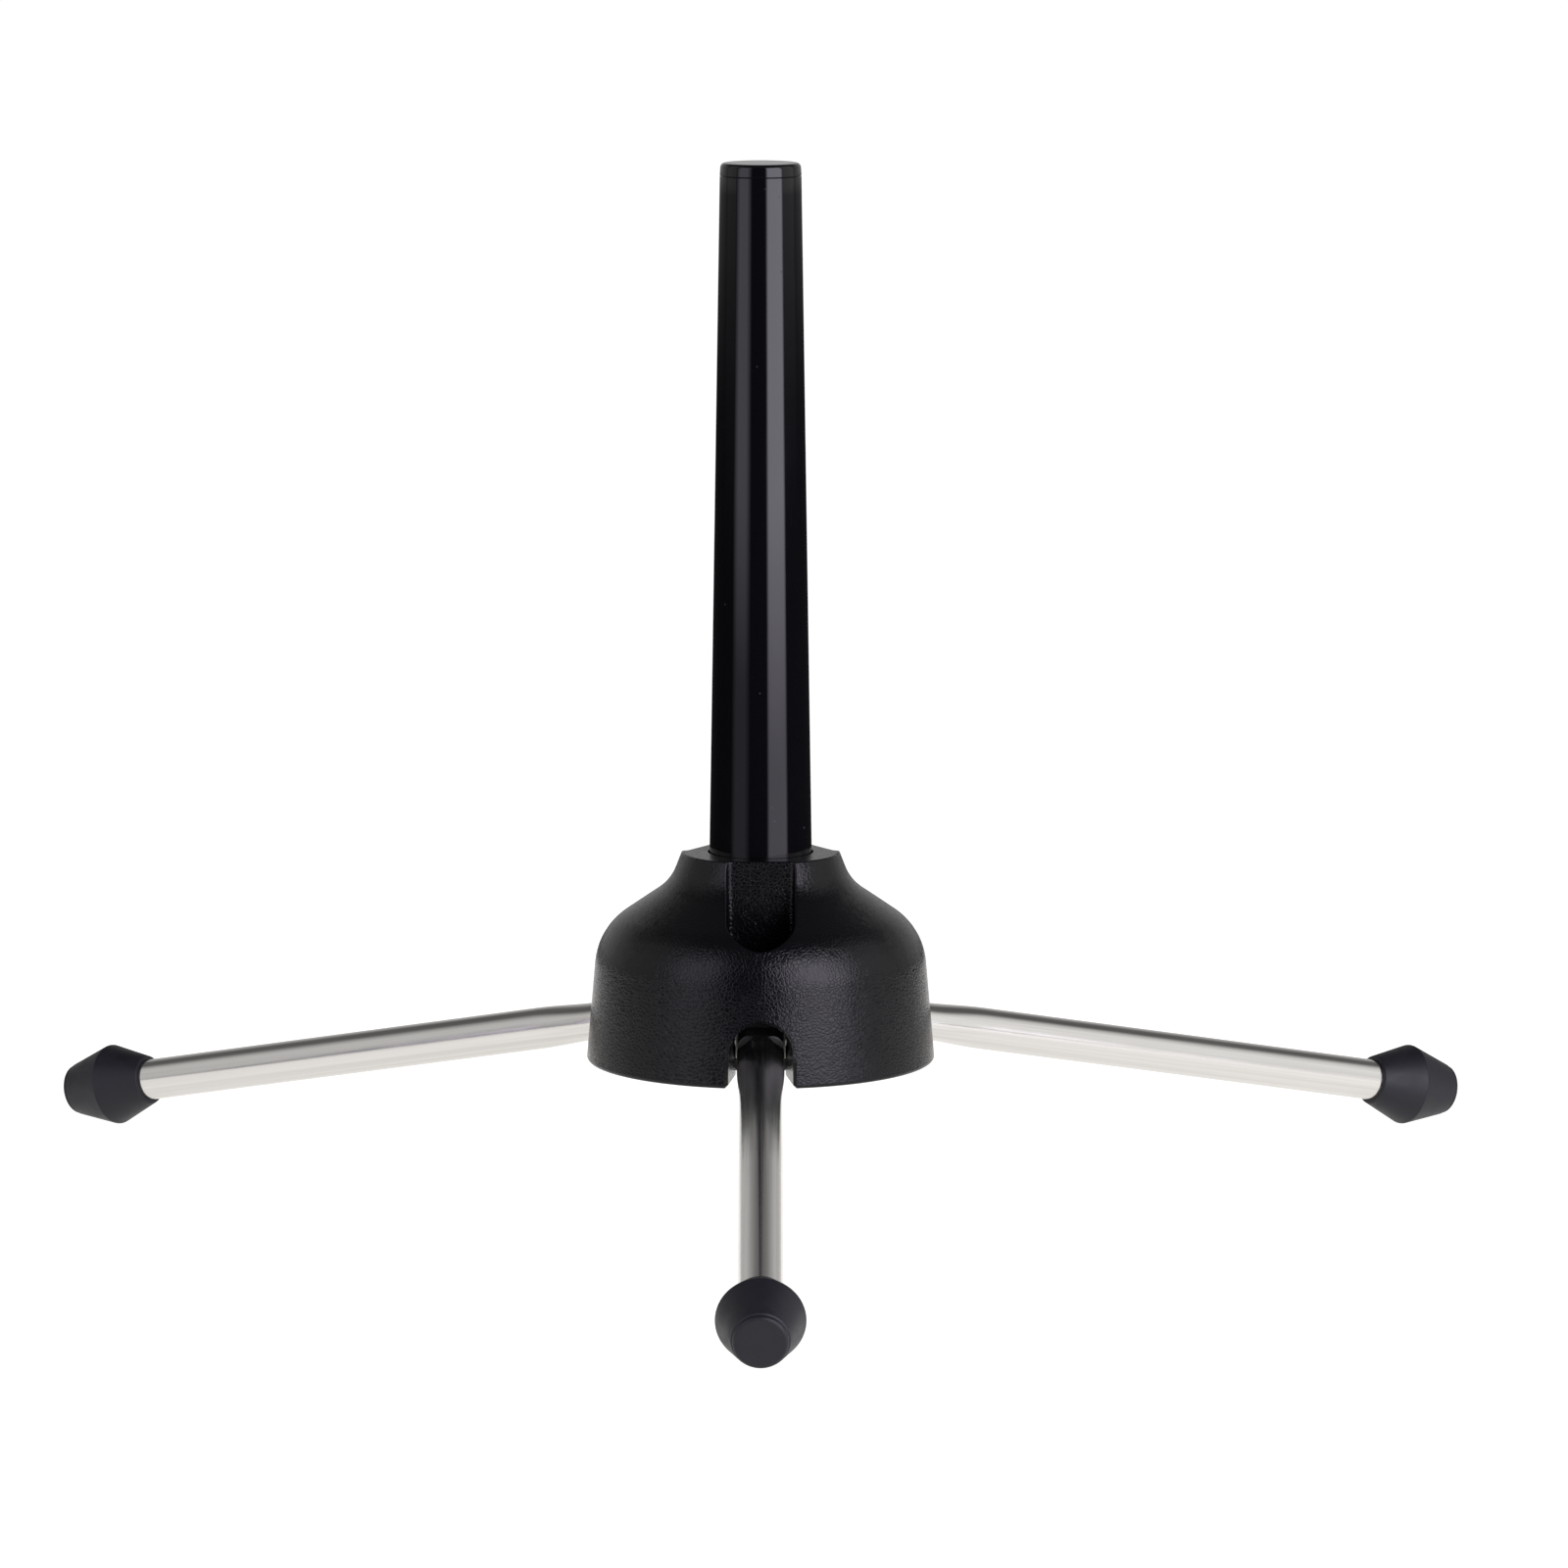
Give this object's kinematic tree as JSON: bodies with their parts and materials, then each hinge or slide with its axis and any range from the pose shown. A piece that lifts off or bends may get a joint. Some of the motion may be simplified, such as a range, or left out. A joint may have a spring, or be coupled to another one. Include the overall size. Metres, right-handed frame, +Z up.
{
  "type": "trumpet stand",
  "caption": "Folding tripod trumpet stand: a tapered black peg on a bell-shaped hub, with steel tube legs on rubber feet that hinge down to store it.",
  "frame": {"origin": "on the peg's axis, in the plane of the hub's flat top, where the peg leaves the hub", "axes": "+Z up along the peg; the front leg lies along -Y, the other two at 30 and 150 degrees from +X"},
  "size_m": [0.3472, 0.3017, 0.2451],
  "materials": {
    "hub_plastic": "satin black, fine leather-like moulded grain",
    "peg_gloss": "gloss black",
    "moulded_black": "smooth black moulding",
    "polished_tube": "polished stainless with fine hairlines",
    "foot_rubber": "matte black rubber",
    "plated_steel": "zinc plated",
    "white_nylon": "natural nylon"
  },
  "bodies": {
    "root": {"hub": "hub_plastic", "peg_tube": "peg_gloss", "peg_cap": "peg_gloss", "peg_plug": "moulded_black", "peg_washer": "plated_steel", "peg_screw": "plated_steel", "leg_pin_front": "plated_steel", "leg_pin_right": "plated_steel", "leg_pin_left": "plated_steel"},
    "leg_front": {"leg_tube_front": "polished_tube", "leg_knuckle_front": "moulded_black", "leg_spacers_front": "white_nylon", "leg_foot_front": "foot_rubber"},
    "leg_right": {"leg_tube_right": "polished_tube", "leg_knuckle_right": "moulded_black", "leg_spacers_right": "white_nylon", "leg_foot_right": "foot_rubber"},
    "leg_left": {"leg_tube_left": "polished_tube", "leg_knuckle_left": "moulded_black", "leg_spacers_left": "white_nylon", "leg_foot_left": "foot_rubber"}
  },
  "joints": [
    {"name": "leg_front_fold", "type": "hinge", "parent": "root", "child": "leg_front", "pos_m": [0, -0.025, -0.0405], "axis": [1, 0, 0], "range_deg": [0, 78.5]},
    {"name": "leg_right_fold", "type": "hinge", "parent": "root", "child": "leg_right", "pos_m": [0.02165, 0.0125, -0.0405], "axis": [-0.5, 0.866, 0], "range_deg": [0, 78.5]},
    {"name": "leg_left_fold", "type": "hinge", "parent": "root", "child": "leg_left", "pos_m": [-0.02165, 0.0125, -0.0405], "axis": [-0.5, -0.866, 0], "range_deg": [0, 78.5]}
  ]
}
